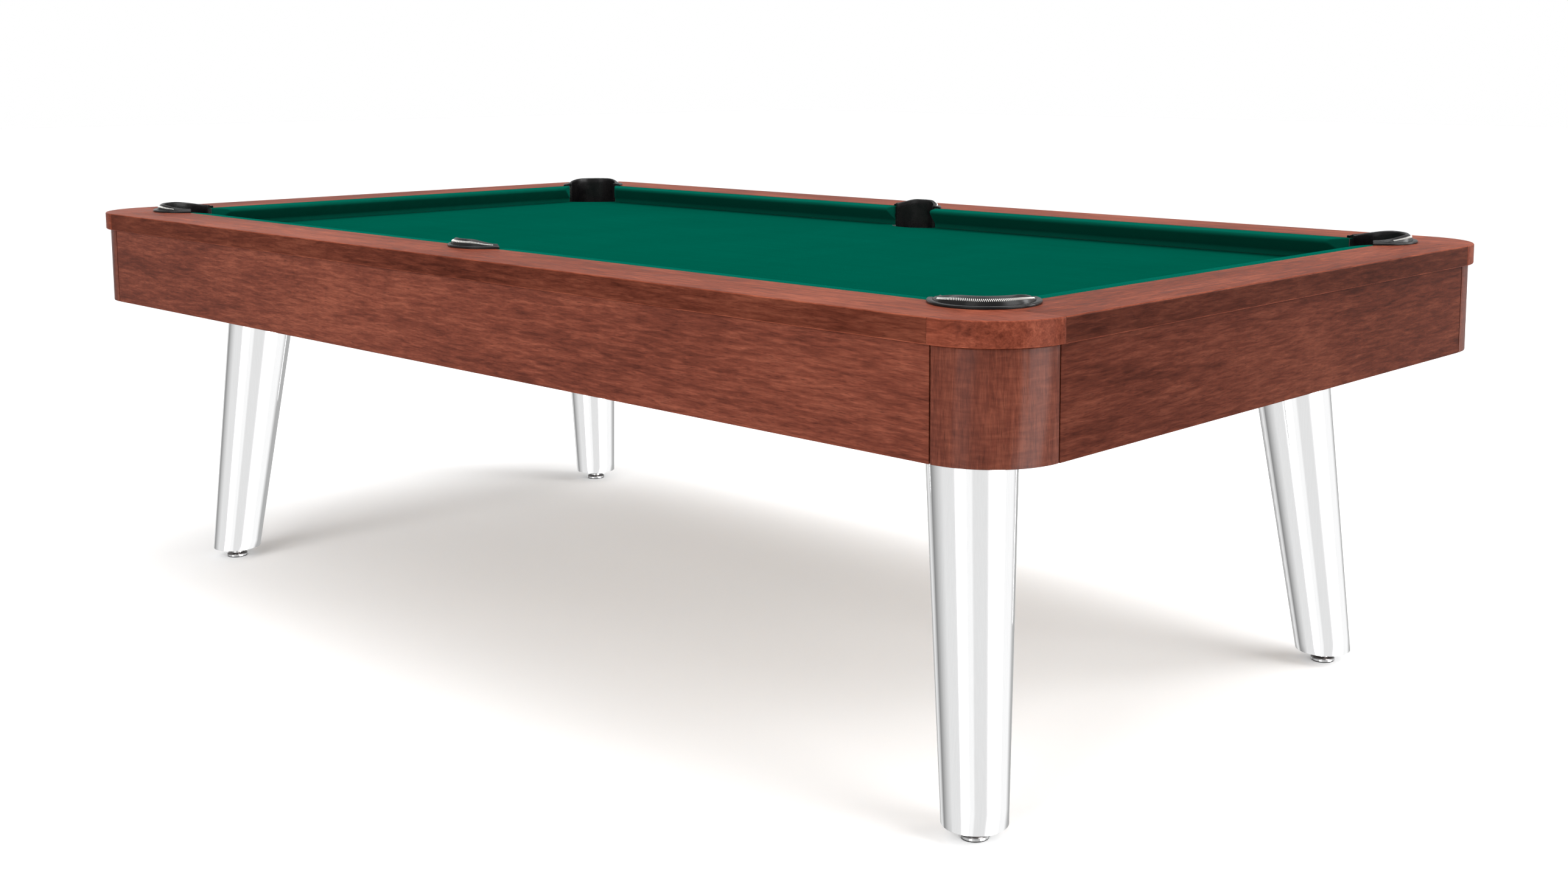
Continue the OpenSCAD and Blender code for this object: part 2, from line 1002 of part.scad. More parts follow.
collar_corner(-1, 1);  // pocket_collar_back_left
collar_side(1);  // pocket_collar_back_middle
collar_corner(1, 1);  // pocket_collar_back_right
pocket_irons();
pocket_screws();
pocket_buckets();
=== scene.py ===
"""Eight-foot drop-pocket pool table: materials, cloth, leather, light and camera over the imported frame."""
import math
from math import asin, atan2, cos, degrees, pi, radians, sin, sqrt

import bpy
import bmesh
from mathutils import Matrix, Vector, geometry


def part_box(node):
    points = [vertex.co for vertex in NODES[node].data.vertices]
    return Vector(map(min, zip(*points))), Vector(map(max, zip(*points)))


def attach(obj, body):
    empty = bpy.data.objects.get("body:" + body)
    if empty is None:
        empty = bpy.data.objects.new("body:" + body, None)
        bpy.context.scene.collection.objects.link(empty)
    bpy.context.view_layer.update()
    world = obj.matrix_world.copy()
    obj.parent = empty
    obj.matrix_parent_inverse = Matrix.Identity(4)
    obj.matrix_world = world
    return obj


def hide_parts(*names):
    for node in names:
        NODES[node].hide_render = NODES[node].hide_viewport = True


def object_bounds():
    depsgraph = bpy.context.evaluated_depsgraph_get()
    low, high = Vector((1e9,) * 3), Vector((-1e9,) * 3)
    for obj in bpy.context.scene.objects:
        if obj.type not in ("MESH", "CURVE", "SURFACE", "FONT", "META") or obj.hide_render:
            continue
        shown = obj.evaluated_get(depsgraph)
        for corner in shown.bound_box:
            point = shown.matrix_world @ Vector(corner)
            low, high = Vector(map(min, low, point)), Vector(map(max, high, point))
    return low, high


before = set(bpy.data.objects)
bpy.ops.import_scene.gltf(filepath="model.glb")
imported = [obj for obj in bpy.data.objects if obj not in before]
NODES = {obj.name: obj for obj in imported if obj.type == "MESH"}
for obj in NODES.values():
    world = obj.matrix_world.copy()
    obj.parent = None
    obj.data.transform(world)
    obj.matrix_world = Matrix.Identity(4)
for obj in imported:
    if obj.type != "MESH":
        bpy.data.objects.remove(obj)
CAD_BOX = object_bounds()
MM = 0.001

# ---- sizes, from the frame where it holds them ----
LENGTH = CAD_BOX[1][0] - CAD_BOX[0][0]
WIDTH = CAD_BOX[1][1] - CAD_BOX[0][1]
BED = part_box("bed_cloth")[1][2]
RAIL_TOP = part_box("rail_front")[1][2]
RIM_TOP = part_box("pocket_collar_front_middle")[1][2]
SKIRT_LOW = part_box("pocket_collar_front_middle")[0][2]
BUCKET_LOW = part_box("pocket_buckets")[0][2]
BUCKET_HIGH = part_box("pocket_buckets")[1][2]
CUSHION_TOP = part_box("cushion_cloths")[1][2]
RAIL_W = 162 * MM  # the rail with its cushion, out to in
WOOD_W = 125.5 * MM
NOSE_R, NOSE_HEIGHT = 5 * MM, 35 * MM
CUSHION_FOOT = 136.9 * MM
POCKET_R = 57 * MM
SKIRT_R = 60 * MM
IRON_R = 63.8 * MM
WOOD_HOLE_R = 64.3 * MM
SLATE_HOLE_R = 61 * MM
FLANGE_Z = RAIL_TOP + 2.3 * MM
FLANGE_T = 2.2 * MM
LEATHER_MID_R = 66 * MM
RIM_R = 3.2 * MM
ARM_RISE = 7.5 * MM
CLOTH_INSET = 86 * MM  # from the rail's outer edge
SIDE, CORNER = "side", "corner"
COLLAR_R = {CORNER: 78 * MM, SIDE: 75 * MM}
COLLAR_SPAN = {CORNER: radians(108), SIDE: radians(66)}
FLAP = {CORNER: radians(2.8), SIDE: radians(1.2)}
MOUTH = {CORNER: 91 * MM, SIDE: 65 * MM}  # from a pocket's centre to the cushion's end at its nose
SLOPE = {CORNER: math.tan(radians(52)), SIDE: math.tan(radians(14))}
SHELF = {CORNER: (27 * MM, 230 * MM), SIDE: (12 * MM, 75 * MM)}  # depth, and radius of the lip's curve


def pocket_list():
    """name, kind, centre in plan, and the direction that points outwards."""
    px, py = LENGTH / 2 - RAIL_W, WIDTH / 2 - RAIL_W
    for sy, side in ((-1, "front"), (1, "back")):
        for sx, end in ((-1, "left"), (1, "right")):
            yield f"{side}_{end}", CORNER, Vector((sx * px, sy * py)), atan2(sy, sx)
        yield f"{side}_middle", SIDE, Vector((0, sy * py)), sy * pi / 2


POCKETS = list(pocket_list())


# ---- meshes ----

def add_mesh(name, verts, faces, material, body="table", crease=40):
    """A smooth-shaded piece that rides on a body, with edges sharper than crease degrees left sharp."""
    mesh = bpy.data.meshes.new(name)
    mesh.from_pydata([tuple(v) for v in verts], [], faces)
    mesh.validate()
    bm = bmesh.new()
    bm.from_mesh(mesh)
    bmesh.ops.remove_doubles(bm, verts=bm.verts, dist=2e-6)
    bmesh.ops.recalc_face_normals(bm, faces=bm.faces)
    bm.to_mesh(mesh)
    bm.free()
    mesh.polygons.foreach_set("use_smooth", [True] * len(mesh.polygons))
    mesh.set_sharp_from_angle(angle=radians(crease))
    mesh.materials.append(material)
    obj = bpy.data.objects.new(name, mesh)
    bpy.context.scene.collection.objects.link(obj)
    if body:
        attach(obj, body)
    return obj


def grid(rows, closed=False):
    """Vertices and quads of a list of equally long rows; closed joins each row's end to its start."""
    n = len(rows[0])
    verts = [p for row in rows for p in row]
    faces = []
    for i in range(len(rows) - 1):
        for j in range(n if closed else n - 1):
            k = (j + 1) % n
            faces.append((i * n + j, i * n + k, (i + 1) * n + k, (i + 1) * n + j))
    return verts, faces


def arc(centre, r, a0, a1, n):
    """n + 1 points of a circle between two directions in degrees."""
    turns = [radians(a0 + (a1 - a0) * i / n) for i in range(n + 1)]
    return [(centre[0] + r * cos(a), centre[1] + r * sin(a)) for a in turns]


def bezier(p0, p1, p2, p3, n):
    """n + 1 points of a cubic curve from p0 to p3, pulled towards p1 and p2."""
    out = []
    for i in range(n + 1):
        t = i / n
        w = ((1 - t) ** 3, 3 * t * (1 - t) ** 2, 3 * t * t * (1 - t), t ** 3)
        out.append(tuple(sum(wi * p[k] for wi, p in zip(w, (p0, p1, p2, p3))) for k in (0, 1)))
    return out


def smooth(t):
    """An easy start and end between 0 and 1."""
    t = min(1.0, max(0.0, t))
    return t * t * (3 - 2 * t)


def mix(a, b, t):
    return a + (b - a) * t


def inset(points, d, closed):
    """The points moved by d to the left of their path."""
    n = len(points)
    out = []
    for i, p in enumerate(points):
        a = points[i - 1] if closed or i else p
        b = points[(i + 1) % n] if closed or i < n - 1 else p
        tx, ty = b[0] - a[0], b[1] - a[1]
        size = sqrt(tx * tx + ty * ty) or 1.0
        out.append((p[0] - ty / size * d, p[1] + tx / size * d))
    return out


def rounding(r, n):
    """(distance from the end, inset) pairs, from the end inwards, that round a solid's end with radius r."""
    return [(r * (1 - sin(pi / 2 * k / n)), r * (1 - cos(pi / 2 * k / n))) for k in range(n, 0, -1)]


# ---- materials ----

class Graph:
    """A node material: a Principled shader and short calls that add nodes in front of it."""

    def __init__(self, name, **sockets):
        self.material = bpy.data.materials.new(name)
        self.material.use_nodes = True
        self.tree = self.material.node_tree
        self.tree.nodes.clear()
        out = self.tree.nodes.new("ShaderNodeOutputMaterial")
        self.shader = self.tree.nodes.new("ShaderNodeBsdfPrincipled")
        self.tree.links.new(self.shader.outputs[0], out.inputs[0])
        self.coords = self.tree.nodes.new("ShaderNodeTexCoord").outputs["Object"]
        for key, value in sockets.items():
            self.set(key.replace("_", " "), value)

    def plug(self, socket, value):
        if isinstance(value, bpy.types.NodeSocket):
            self.tree.links.new(value, socket)
        else:
            socket.default_value = value

    def set(self, name, value):
        socket = next(s for s in self.shader.inputs if s.name.lower() == name.lower())
        if isinstance(value, tuple) and len(value) == 3:
            value = (*value, 1.0)
        self.plug(socket, value)

    def add(self, kind, inputs, out=0, **settings):
        node = self.tree.nodes.new(kind)
        for key, value in settings.items():
            setattr(node, key, value)
        for key, value in inputs.items():
            self.plug(node.inputs[key], value)
        return node.outputs[out]

    def scaled(self, scale, shift=(0, 0, 0)):
        return self.add("ShaderNodeMapping", {"Vector": self.coords, "Location": shift, "Scale": scale})

    def noise(self, vector, scale=1.0, detail=2.0, rough=0.5, distort=0.0):
        return self.add("ShaderNodeTexNoise", {
            "Vector": vector, "Scale": scale, "Detail": detail, "Roughness": rough, "Distortion": distort})

    def cell_edges(self, vector, scale):
        """Distance to the nearest edge between cells."""
        inputs = {"Vector": vector, "Scale": scale}
        return self.add("ShaderNodeTexVoronoi", inputs, "Distance", feature="DISTANCE_TO_EDGE")

    def stripes(self, **inputs):
        """Slanting bands, as a number from 0 to 1."""
        sockets = {key.replace("_", " "): value for key, value in inputs.items()}
        sockets["Vector"] = self.coords
        return self.add("ShaderNodeTexWave", sockets, 1, wave_type="BANDS", bands_direction="DIAGONAL")

    def z_of(self, vector):
        return self.add("ShaderNodeSeparateXYZ", {"Vector": vector}, 2)

    def facing_up(self):
        """The surface normal's upward part."""
        return self.z_of(self.tree.nodes.new("ShaderNodeNewGeometry").outputs["Normal"])

    def ramp(self, factor, stops):
        node = self.tree.nodes.new("ShaderNodeValToRGB")
        self.tree.links.new(factor, node.inputs[0])
        elements = node.color_ramp.elements
        while len(elements) < len(stops):
            elements.new(0.5)
        for element, (place, colour) in zip(elements, stops):
            element.position = place
            element.color = (*colour, 1.0) if isinstance(colour, tuple) else (colour, colour, colour, 1.0)
        return node.outputs[0]

    def mixed(self, factor, a, b, blend="MIX"):
        node = self.tree.nodes.new("ShaderNodeMix")
        node.data_type = "RGBA"
        node.blend_type = blend
        for index, value in ((0, factor), (6, a), (7, b)):
            if isinstance(value, tuple) and len(value) == 3:
                value = (*value, 1.0)
            self.plug(node.inputs[index], value)
        return node.outputs[2]

    def maths(self, operation, a, b=0.0):
        return self.add("ShaderNodeMath", {0: a, 1: b}, operation=operation)

    def fit(self, value, low, high, to_low, to_high):
        return self.add("ShaderNodeMapRange", {"Value": value, 1: low, 2: high, 3: to_low, 4: to_high})

    def bump(self, height, distance, strength):
        return self.add("ShaderNodeBump", {"Height": height, "Distance": distance, "Strength": strength})


def along(axis, fine, coarse):
    """A texture scale that is fine across the grain and coarse along it."""
    return tuple(coarse if k == axis else fine for k in "xyz")


DEEP, BODY, LIGHT = (0.080, 0.0168, 0.0085), (0.155, 0.0360, 0.0190), (0.250, 0.0680, 0.0370)


def wood_material(axis, seed, shade, face=1.0, curl=0.06, polish=0.01, open_pores=0.45):
    """Stained hardwood, its grain along one axis: figure, flecks, curl across it, fibres and dark pores.

    shade scales the stain for how much light falls on each piece, and face scales it again on upright faces
    as painted shade: both are painted light and shade, not the wood's own colour.
    """
    name = f"stained_wood_{axis}_{seed}"
    g = Graph(name, specular_ior_level=0.02, coat_weight=polish, coat_roughness=0.17)
    shift = (seed * 3.7, seed * 1.9, seed * 2.3)
    figure = g.noise(g.scaled(along(axis, 19, 2.2), shift), 1.0, 4.0, 0.58, 1.0)
    patch = g.noise(g.scaled(along(axis, 7, 2.6), shift), 1.0, 3.0, 0.5, 0.6)
    fleck = g.noise(g.scaled(along(axis, 165, 17), shift), 1.0, 3.0, 0.62, 0.5)
    ripple = g.noise(g.scaled(along(axis, 30, 150), shift), 1.0, 2.0, 0.5, 0.6)
    fibre = g.noise(g.scaled(along(axis, 520, 60), shift), 1.0, 3.0, 0.6)
    pore = g.noise(g.scaled(along(axis, 1100, 70), shift), 1.0, 1.0, 0.4)
    broad = g.mixed(0.5, figure, patch)
    fine = g.mixed(curl, fleck, ripple)
    tone = g.mixed(0.5, broad, fine)
    colour = g.ramp(tone, [(0.37, DEEP), (0.495, BODY), (0.625, LIGHT)])
    colour = g.mixed(0.42, colour, g.ramp(fibre, [(0.25, 0.45), (0.75, 1.45)]), "MULTIPLY")
    pores = g.ramp(pore, [(0.60, 0.0), (0.74, 1.0)])
    pore_colour = tuple(c * 0.35 for c in DEEP)
    colour = g.mixed(g.maths("MULTIPLY", pores, open_pores), colour, pore_colour)
    # Painted shade: shade scales each piece's stain for how much light falls on it, and upright faces are
    # darkened further by face.
    stain_and_painted_shade = g.fit(g.maths("ABSOLUTE", g.facing_up()), 0.2, 0.7, shade * face, shade)
    colour = g.mixed(1.0, colour, stain_and_painted_shade, "MULTIPLY")
    g.set("Base Color", colour)
    g.set("Roughness", g.fit(fleck, 0.3, 0.7, 0.29, 0.43))
    height = g.maths("SUBTRACT", g.maths("MULTIPLY", fibre, 0.5), g.maths("MULTIPLY", pores, 0.7))
    height = g.maths("ADD", height, g.maths("MULTIPLY", ripple, curl * 3))
    g.set("Normal", g.bump(height, 0.00016, 0.4))
    return g.material


def timber_material(name, axis, seed):
    """Bare sawn softwood: pale, with growth lines along the grain and a rough, fuzzy surface."""
    g = Graph(name, specular_ior_level=0.25)
    shift = (seed * 2.1, seed * 4.3, seed * 1.3)
    rings = g.noise(g.scaled(along(axis, 34, 0.7), shift), 1.0, 3.0, 0.5, 1.4)
    ring = g.maths("FRACT", g.maths("MULTIPLY", rings, 9.0))
    lines = g.ramp(ring, [(0.0, 0.0), (0.55, 0.25), (0.92, 1.0), (1.0, 0.1)])
    fuzz = g.noise(g.scaled(along(axis, 1100, 60), shift), 1.0, 3.0, 0.65)
    saw = g.noise(g.scaled(along(axis, 30, 620), shift), 1.0, 1.0, 0.4)
    colour = g.mixed(g.maths("MULTIPLY", lines, 0.55), (0.55, 0.37, 0.19), (0.36, 0.20, 0.085))
    colour = g.mixed(0.35, colour, g.ramp(fuzz, [(0.25, 0.6), (0.75, 1.2)]), "MULTIPLY")
    g.set("Base Color", colour)
    g.set("Roughness", g.fit(fuzz, 0.2, 0.8, 0.66, 0.86))
    g.set("Normal", g.bump(g.maths("ADD", fuzz, g.maths("MULTIPLY", saw, 0.6)), 0.0004, 0.5))
    return g.material


def plywood_material(name):
    """Plywood: thin veneers seen on the edges, and a rotary-cut face."""
    g = Graph(name, specular_ior_level=0.25)
    wobble = g.maths("MULTIPLY", g.noise(g.coords, 9.0, 2.0), 0.0016)
    layer = g.maths("FRACT", g.maths("MULTIPLY", g.maths("ADD", g.z_of(g.coords), wobble), 420.0))
    veneer = g.ramp(layer, [
        (0.0, (0.22, 0.12, 0.05)), (0.12, (0.50, 0.34, 0.18)),
        (0.55, (0.62, 0.45, 0.27)), (1.0, (0.40, 0.25, 0.12))])
    face = g.noise(g.scaled((3.0, 60, 60)), 1.0, 5.0, 0.6, 0.9)
    colour = g.mixed(0.5, veneer, g.ramp(face, [(0.3, (0.45, 0.29, 0.15)), (0.7, (0.66, 0.48, 0.29))]))
    g.set("Base Color", colour)
    g.set("Roughness", g.fit(face, 0.2, 0.8, 0.6, 0.8))
    g.set("Normal", g.bump(g.noise(g.coords, 1200.0, 3.0), 0.0003, 0.4))
    return g.material


def slate_material(name):
    """Honed slate: blue-grey, cloudy, with fine cleavage marks and a few pale veins."""
    g = Graph(name, specular_ior_level=0.4)
    cloud = g.noise(g.coords, 6.0, 6.0, 0.6, 0.8)
    grain = g.noise(g.scaled((700, 700, 1400)), 1.0, 4.0, 0.7)
    vein = g.ramp(g.cell_edges(g.scaled((2.2, 5.0, 2.0)), 1.0), [(0.0, 1.0), (0.012, 0.0)])
    colour = g.ramp(cloud, [
        (0.3, (0.055, 0.064, 0.072)), (0.5, (0.095, 0.105, 0.112)), (0.72, (0.145, 0.150, 0.150))])
    colour = g.mixed(g.maths("MULTIPLY", vein, 0.35), colour, (0.30, 0.30, 0.28))
    colour = g.mixed(0.4, colour, g.ramp(grain, [(0.3, 0.7), (0.7, 1.25)]), "MULTIPLY")
    g.set("Base Color", colour)
    g.set("Roughness", g.fit(grain, 0.2, 0.8, 0.5, 0.75))
    g.set("Normal", g.bump(grain, 0.0003, 0.4))
    return g.material


def cloth_material(name, dark, light, sheen):
    """Worsted wool: a fine diagonal weave under a short brushed nap, with slight clouding from the brush."""
    tint = (0.0, 0.62, 0.46)
    g = Graph(name, specular_ior_level=0.0, sheen_weight=sheen, sheen_roughness=0.4, sheen_tint=tint)
    nap = g.noise(g.scaled((1500, 2600, 1500)), 1.0, 3.0, 0.7)
    cloud = g.noise(g.scaled((5, 2.2, 5)), 1.0, 4.0, 0.6, 0.5)
    brushed = g.noise(g.scaled((3.0, 60, 60)), 1.0, 4.0, 0.6)
    warp = g.stripes(Scale=260.0, Distortion=1.2, Detail=2.0, Detail_Scale=3.0)
    tone = g.maths("ADD", g.maths("MULTIPLY", cloud, 0.55), g.maths("MULTIPLY", brushed, 0.45))
    colour = g.ramp(tone, [(0.34, dark), (0.66, light)])
    colour = g.mixed(0.30, colour, g.ramp(nap, [(0.25, 0.55), (0.75, 1.35)]), "MULTIPLY")
    colour = g.mixed(0.12, colour, g.ramp(warp, [(0.0, 0.6), (1.0, 1.2)]), "MULTIPLY")
    g.set("Base Color", colour)
    g.set("Roughness", g.fit(nap, 0.2, 0.8, 0.80, 0.95))
    height = g.maths("ADD", nap, g.maths("MULTIPLY", warp, 0.5))
    g.set("Normal", g.bump(height, 0.00025, 0.45))
    return g.material


def leather_material(name, gloss, coat):
    """Polished black hide: pebbled grain with creases between the pebbles, worn smoother here and there."""
    g = Graph(name, specular_ior_level=0.15, coat_weight=coat, coat_roughness=0.06)
    wander = g.add("ShaderNodeTexNoise", {"Vector": g.coords, "Scale": 260.0, "Detail": 2.0}, 1)
    pebble = g.cell_edges(g.mixed(0.0015, g.coords, wander), 620.0)
    crease = g.noise(g.scaled((240, 240, 120)), 1.0, 4.0, 0.65, 0.9)
    wear = g.noise(g.coords, 38.0, 3.0, 0.6)
    colour = g.ramp(wear, [(0.30, (0.0024, 0.0023, 0.0026)), (0.70, (0.0062, 0.0056, 0.0056))])
    g.set("Base Color", colour)
    g.set("Roughness", g.fit(wear, 0.25, 0.75, gloss, gloss + 0.16))
    pebbles = g.ramp(pebble, [(0.0, 0.0), (0.12, 0.8), (0.4, 1.0)])
    height = g.maths("ADD", pebbles, g.maths("MULTIPLY", crease, 0.9))
    g.set("Normal", g.bump(height, 0.00012, 0.22))
    return g.material


def polished_leg_material(name):
    """Polished aluminium: faint polishing lines along the leg, and a little haze."""
    g = Graph(name, metallic=1.0)
    lines = g.noise(g.scaled((420, 420, 5)), 1.0, 4.0, 0.6)
    haze = g.noise(g.coords, 14.0, 3.0, 0.5)
    g.set("Base Color", g.ramp(lines, [(0.25, (0.94, 0.942, 0.945)), (0.75, (0.985, 0.986, 0.988))]))
    g.set("Roughness", g.maths("ADD", g.fit(lines, 0.2, 0.8, 0.05, 0.09), g.fit(haze, 0.3, 0.7, 0.0, 0.02)))
    g.set("Normal", g.bump(lines, 0.00010, 0.12))
    return g.material


def foot_material(name, sole_z):
    """Turned disc, chromed round the rim, its top painted dark brown as painted shade and reflection of the
    dark table above, on a matt black sole below sole_z.
    """
    g = Graph(name)
    above_sole = g.fit(g.z_of(g.coords), sole_z - 0.0001, sole_z + 0.0001, 0.0, 1.0)
    metal = g.ramp(above_sole, [(0.0, 0.0), (1.0, 1.0)])
    marks = g.noise(g.scaled((300, 300, 2600)), 1.0, 3.0, 0.6)
    chrome = g.ramp(marks, [(0.3, 0.50), (0.7, 0.64)])
    painted_dark_top = g.ramp(marks, [(0.3, (0.020, 0.014, 0.013)), (0.7, (0.045, 0.030, 0.027))])
    # Painted shade and reflection: the disc's upward faces are painted dark brown, standing for its shaded
    # top mirroring the table's dark underside.
    disc = g.mixed(g.fit(g.facing_up(), 0.5, 0.8, 0.0, 1.0), chrome, painted_dark_top)
    g.set("Base Color", g.mixed(metal, (0.012, 0.012, 0.012), disc))
    g.set("Metallic", metal)
    g.set("Roughness", g.mixed(metal, (0.75, 0.75, 0.75), g.ramp(marks, [(0.2, 0.07), (0.8, 0.15)])))
    g.set("Normal", g.bump(marks, 0.00005, 0.3))
    return g.material


def metal_material(name, low, high, rough, stretch, metallic=1.0, pit=0.0002):
    """Worn metal: tool marks stretched as asked, under stains that change its colour and polish."""
    g = Graph(name, metallic=metallic)
    marks = g.noise(g.scaled(stretch), 1.0, 4.0, 0.65)
    stain_and_painted_shade = g.noise(g.coords, 45.0, 4.0, 0.6)
    stained = g.ramp(stain_and_painted_shade, [(0.3, low), (0.7, high)])
    colour = g.mixed(0.5, g.ramp(marks, [(0.25, low), (0.75, high)]), stained)
    g.set("Base Color", colour)
    g.set("Roughness", g.fit(stain_and_painted_shade, 0.25, 0.75, rough - 0.07, rough + 0.10))
    g.set("Normal", g.bump(marks, pit, 0.35))
    return g.material


def rubber_material(name):
    """Moulded rubber, finely pitted, with dust on it in patches."""
    g = Graph(name, specular_ior_level=0.35)
    speck = g.noise(g.coords, 900.0, 3.0, 0.7)
    dust = g.noise(g.coords, 30.0, 4.0, 0.6)
    dusty = g.fit(dust, 0.45, 0.8, 0.0, 0.4)
    g.set("Base Color", g.mixed(dusty, (0.022, 0.021, 0.020), (0.075, 0.070, 0.062)))
    g.set("Roughness", g.fit(speck, 0.2, 0.8, 0.55, 0.78))
    g.set("Normal", g.bump(speck, 0.0003, 0.4))
    return g.material


def thread_material(name):
    """White waxed thread with its twist."""
    g = Graph(name, specular_ior_level=0.4, sheen_weight=0.2)
    twist = g.stripes(Scale=900.0, Distortion=2.0)
    g.set("Base Color", g.ramp(twist, [(0.0, (0.62, 0.61, 0.57)), (1.0, (0.90, 0.89, 0.86))]))
    g.set("Roughness", g.fit(twist, 0.0, 1.0, 0.45, 0.65))
    g.set("Normal", g.bump(twist, 0.0002, 0.5))
    return g.material


def floor_material(name):
    """Plain pale studio floor."""
    g = Graph(name, specular_ior_level=0.2)
    shade = g.noise(g.coords, 1.3, 3.0, 0.5)
    g.set("Base Color", g.ramp(shade, [(0.3, 0.965), (0.7, 0.98)]))
    g.set("Roughness", g.fit(shade, 0.2, 0.8, 0.75, 0.85))
    return g.material


CLOTH_BED = cloth_material("bed_cloth_wool", (0.0, 0.0405, 0.0255), (0.0, 0.0475, 0.0305), 0.03)
CLOTH_CUSHION = cloth_material("cushion_cloth_wool", (0.0005, 0.0410, 0.0265), (0.001, 0.0490, 0.0325), 0.10)
LEATHER = leather_material("pocket_hide", gloss=0.17, coat=0.16)
BUCKET_LEATHER = leather_material("bucket_hide", gloss=0.42, coat=0.10)
THREAD = thread_material("waxed_thread")


def paint(material, *names):
    """Gives CAD nodes one material."""
    for name in names:
        NODES[name].data.materials.clear()
        NODES[name].data.materials.append(material)


def soften(width, *names, segments=2):
    """Small rounded arrises on CAD nodes, which come in with hard ones."""
    for name in names:
        obj = NODES[name]
        weld = obj.modifiers.new("weld", "WELD")
        weld.merge_threshold = 1e-5
        bevel = obj.modifiers.new("arris", "BEVEL")
        bevel.width = width
        bevel.segments = segments
        bevel.limit_method = "ANGLE"
        bevel.angle_limit = radians(40)
        bevel.use_clamp_overlap = True
        bevel.harden_normals = True


def all_named(prefix):
    return [n for n in NODES if n.startswith(prefix)]


SIDES = ("front", "back", "left", "right")
CORNERS = ("front_left", "front_right", "back_left", "back_right")
# Painted light and shade: the shade and face values make each piece's stain lighter or darker for how the
# light falls on it, so the short ends' aprons and rail faces are painted darker than the long sides' and the
# corner blocks' tops lighter.
RAIL_LOOK = {"x": {"shade": 1.0, "face": 0.45}, "y": {"shade": 1.0, "face": 0.32}}
APRON_LOOK = {"x": {"shade": 0.65, "polish": 0.20}, "y": {"shade": 0.43, "polish": 0.03}}
RAIL_CORNER_LOOK = {"shade": 1.20, "face": 0.66, "curl": 0.25, "polish": 0.05, "open_pores": 0.12}
POST_LOOK = {"shade": 0.54, "curl": 0.45, "polish": 0.30}

for seed, side in enumerate(SIDES, start=1):
    axis = "x" if side in ("front", "back") else "y"
    paint(wood_material(axis, seed, **RAIL_LOOK[axis]), f"rail_{side}")
    paint(wood_material(axis, seed + 4, **APRON_LOOK[axis]), f"apron_{side}")
for seed, corner in enumerate(CORNERS, start=9):
    paint(wood_material("x", seed, **RAIL_CORNER_LOOK), f"rail_corner_{corner}")
    paint(wood_material("z", seed + 4, **POST_LOOK), f"corner_post_{corner}")
paint(timber_material("long_beam_timber", "x", 1), "frame_long_beams")
paint(timber_material("cross_beam_timber", "y", 2), "frame_cross_beams")
paint(timber_material("bolster_timber", "x", 3), "leg_bolsters")
paint(timber_material("feather_strip_timber", "x", 4), "feather_strips")
paint(plywood_material("liner_plywood"), "slate_liners")
paint(slate_material("honed_slate"), "slate_left", "slate_middle", "slate_right")
LEGS = [f"leg_{corner}" for corner in CORNERS]
paint(polished_leg_material("polished_aluminium"), *LEGS)
paint(foot_material("chromed_foot", 2 * MM), *all_named("leveller_pad"))
STEEL = metal_material("zinc_plated_steel", (0.42, 0.42, 0.41), (0.62, 0.62, 0.60), 0.30, (260, 260, 1500))
IRON = metal_material("painted_iron", (0.020, 0.020, 0.021), (0.050, 0.049, 0.048), 0.52, (500, 500, 500),
                      metallic=0.4, pit=0.0006)
FASTENERS = ("leveller_inserts", "leg_bolts", "slate_screws", "rail_bolts", "pocket_screws", "apron_brackets")
paint(STEEL, *all_named("leveller_stud"), *FASTENERS)
paint(IRON, "pocket_irons", "leg_plates")
CUSHIONS = [n for n in all_named("cushion_") if n != "cushion_cloths"]
paint(rubber_material("cushion_gum_rubber"), "pocket_facings", *CUSHIONS)
soften(0.9 * MM, *[f"apron_{side}" for side in SIDES], *all_named("corner_post"))
soften(0.7 * MM, *[f"rail_{side}" for side in SIDES], *all_named("rail_corner"))
soften(1.6 * MM, *LEGS, segments=3)


# ---- bed cloth ----

def lip_outline(kind, grow):
    """The slate's hole from above, moved into the slate by grow, as (outwards, sideways, share) points.

    The share goes from 0 round the back and at the lip's ends to 1 in the lip's middle.
    """
    back_steps, lip_steps = 30, 20
    shelf, lip_r = SHELF[kind]
    r, lr = SLATE_HOLE_R + grow, lip_r + grow
    cx = lip_r - shelf
    x = (r * r - lr * lr + cx * cx) / (2 * cx)
    back = atan2(sqrt(r * r - x * x), x)
    front = asin(sqrt(r * r - x * x) / lr)
    points = []
    for i in range(back_steps):
        a = mix(-back, back, i / back_steps)
        points.append((r * cos(a), r * sin(a), 0.0))
    for i in range(lip_steps):
        a = mix(front, -front, i / lip_steps)
        points.append((cx - lr * cos(a), lr * sin(a), 1 - abs(2 * i / lip_steps - 1)))
    return points


def place(centre, angle, x, y):
    """A pocket's own (outwards, sideways) point in plan."""
    return Vector((centre.x + x * cos(angle) - y * sin(angle), centre.y + x * sin(angle) + y * cos(angle)))


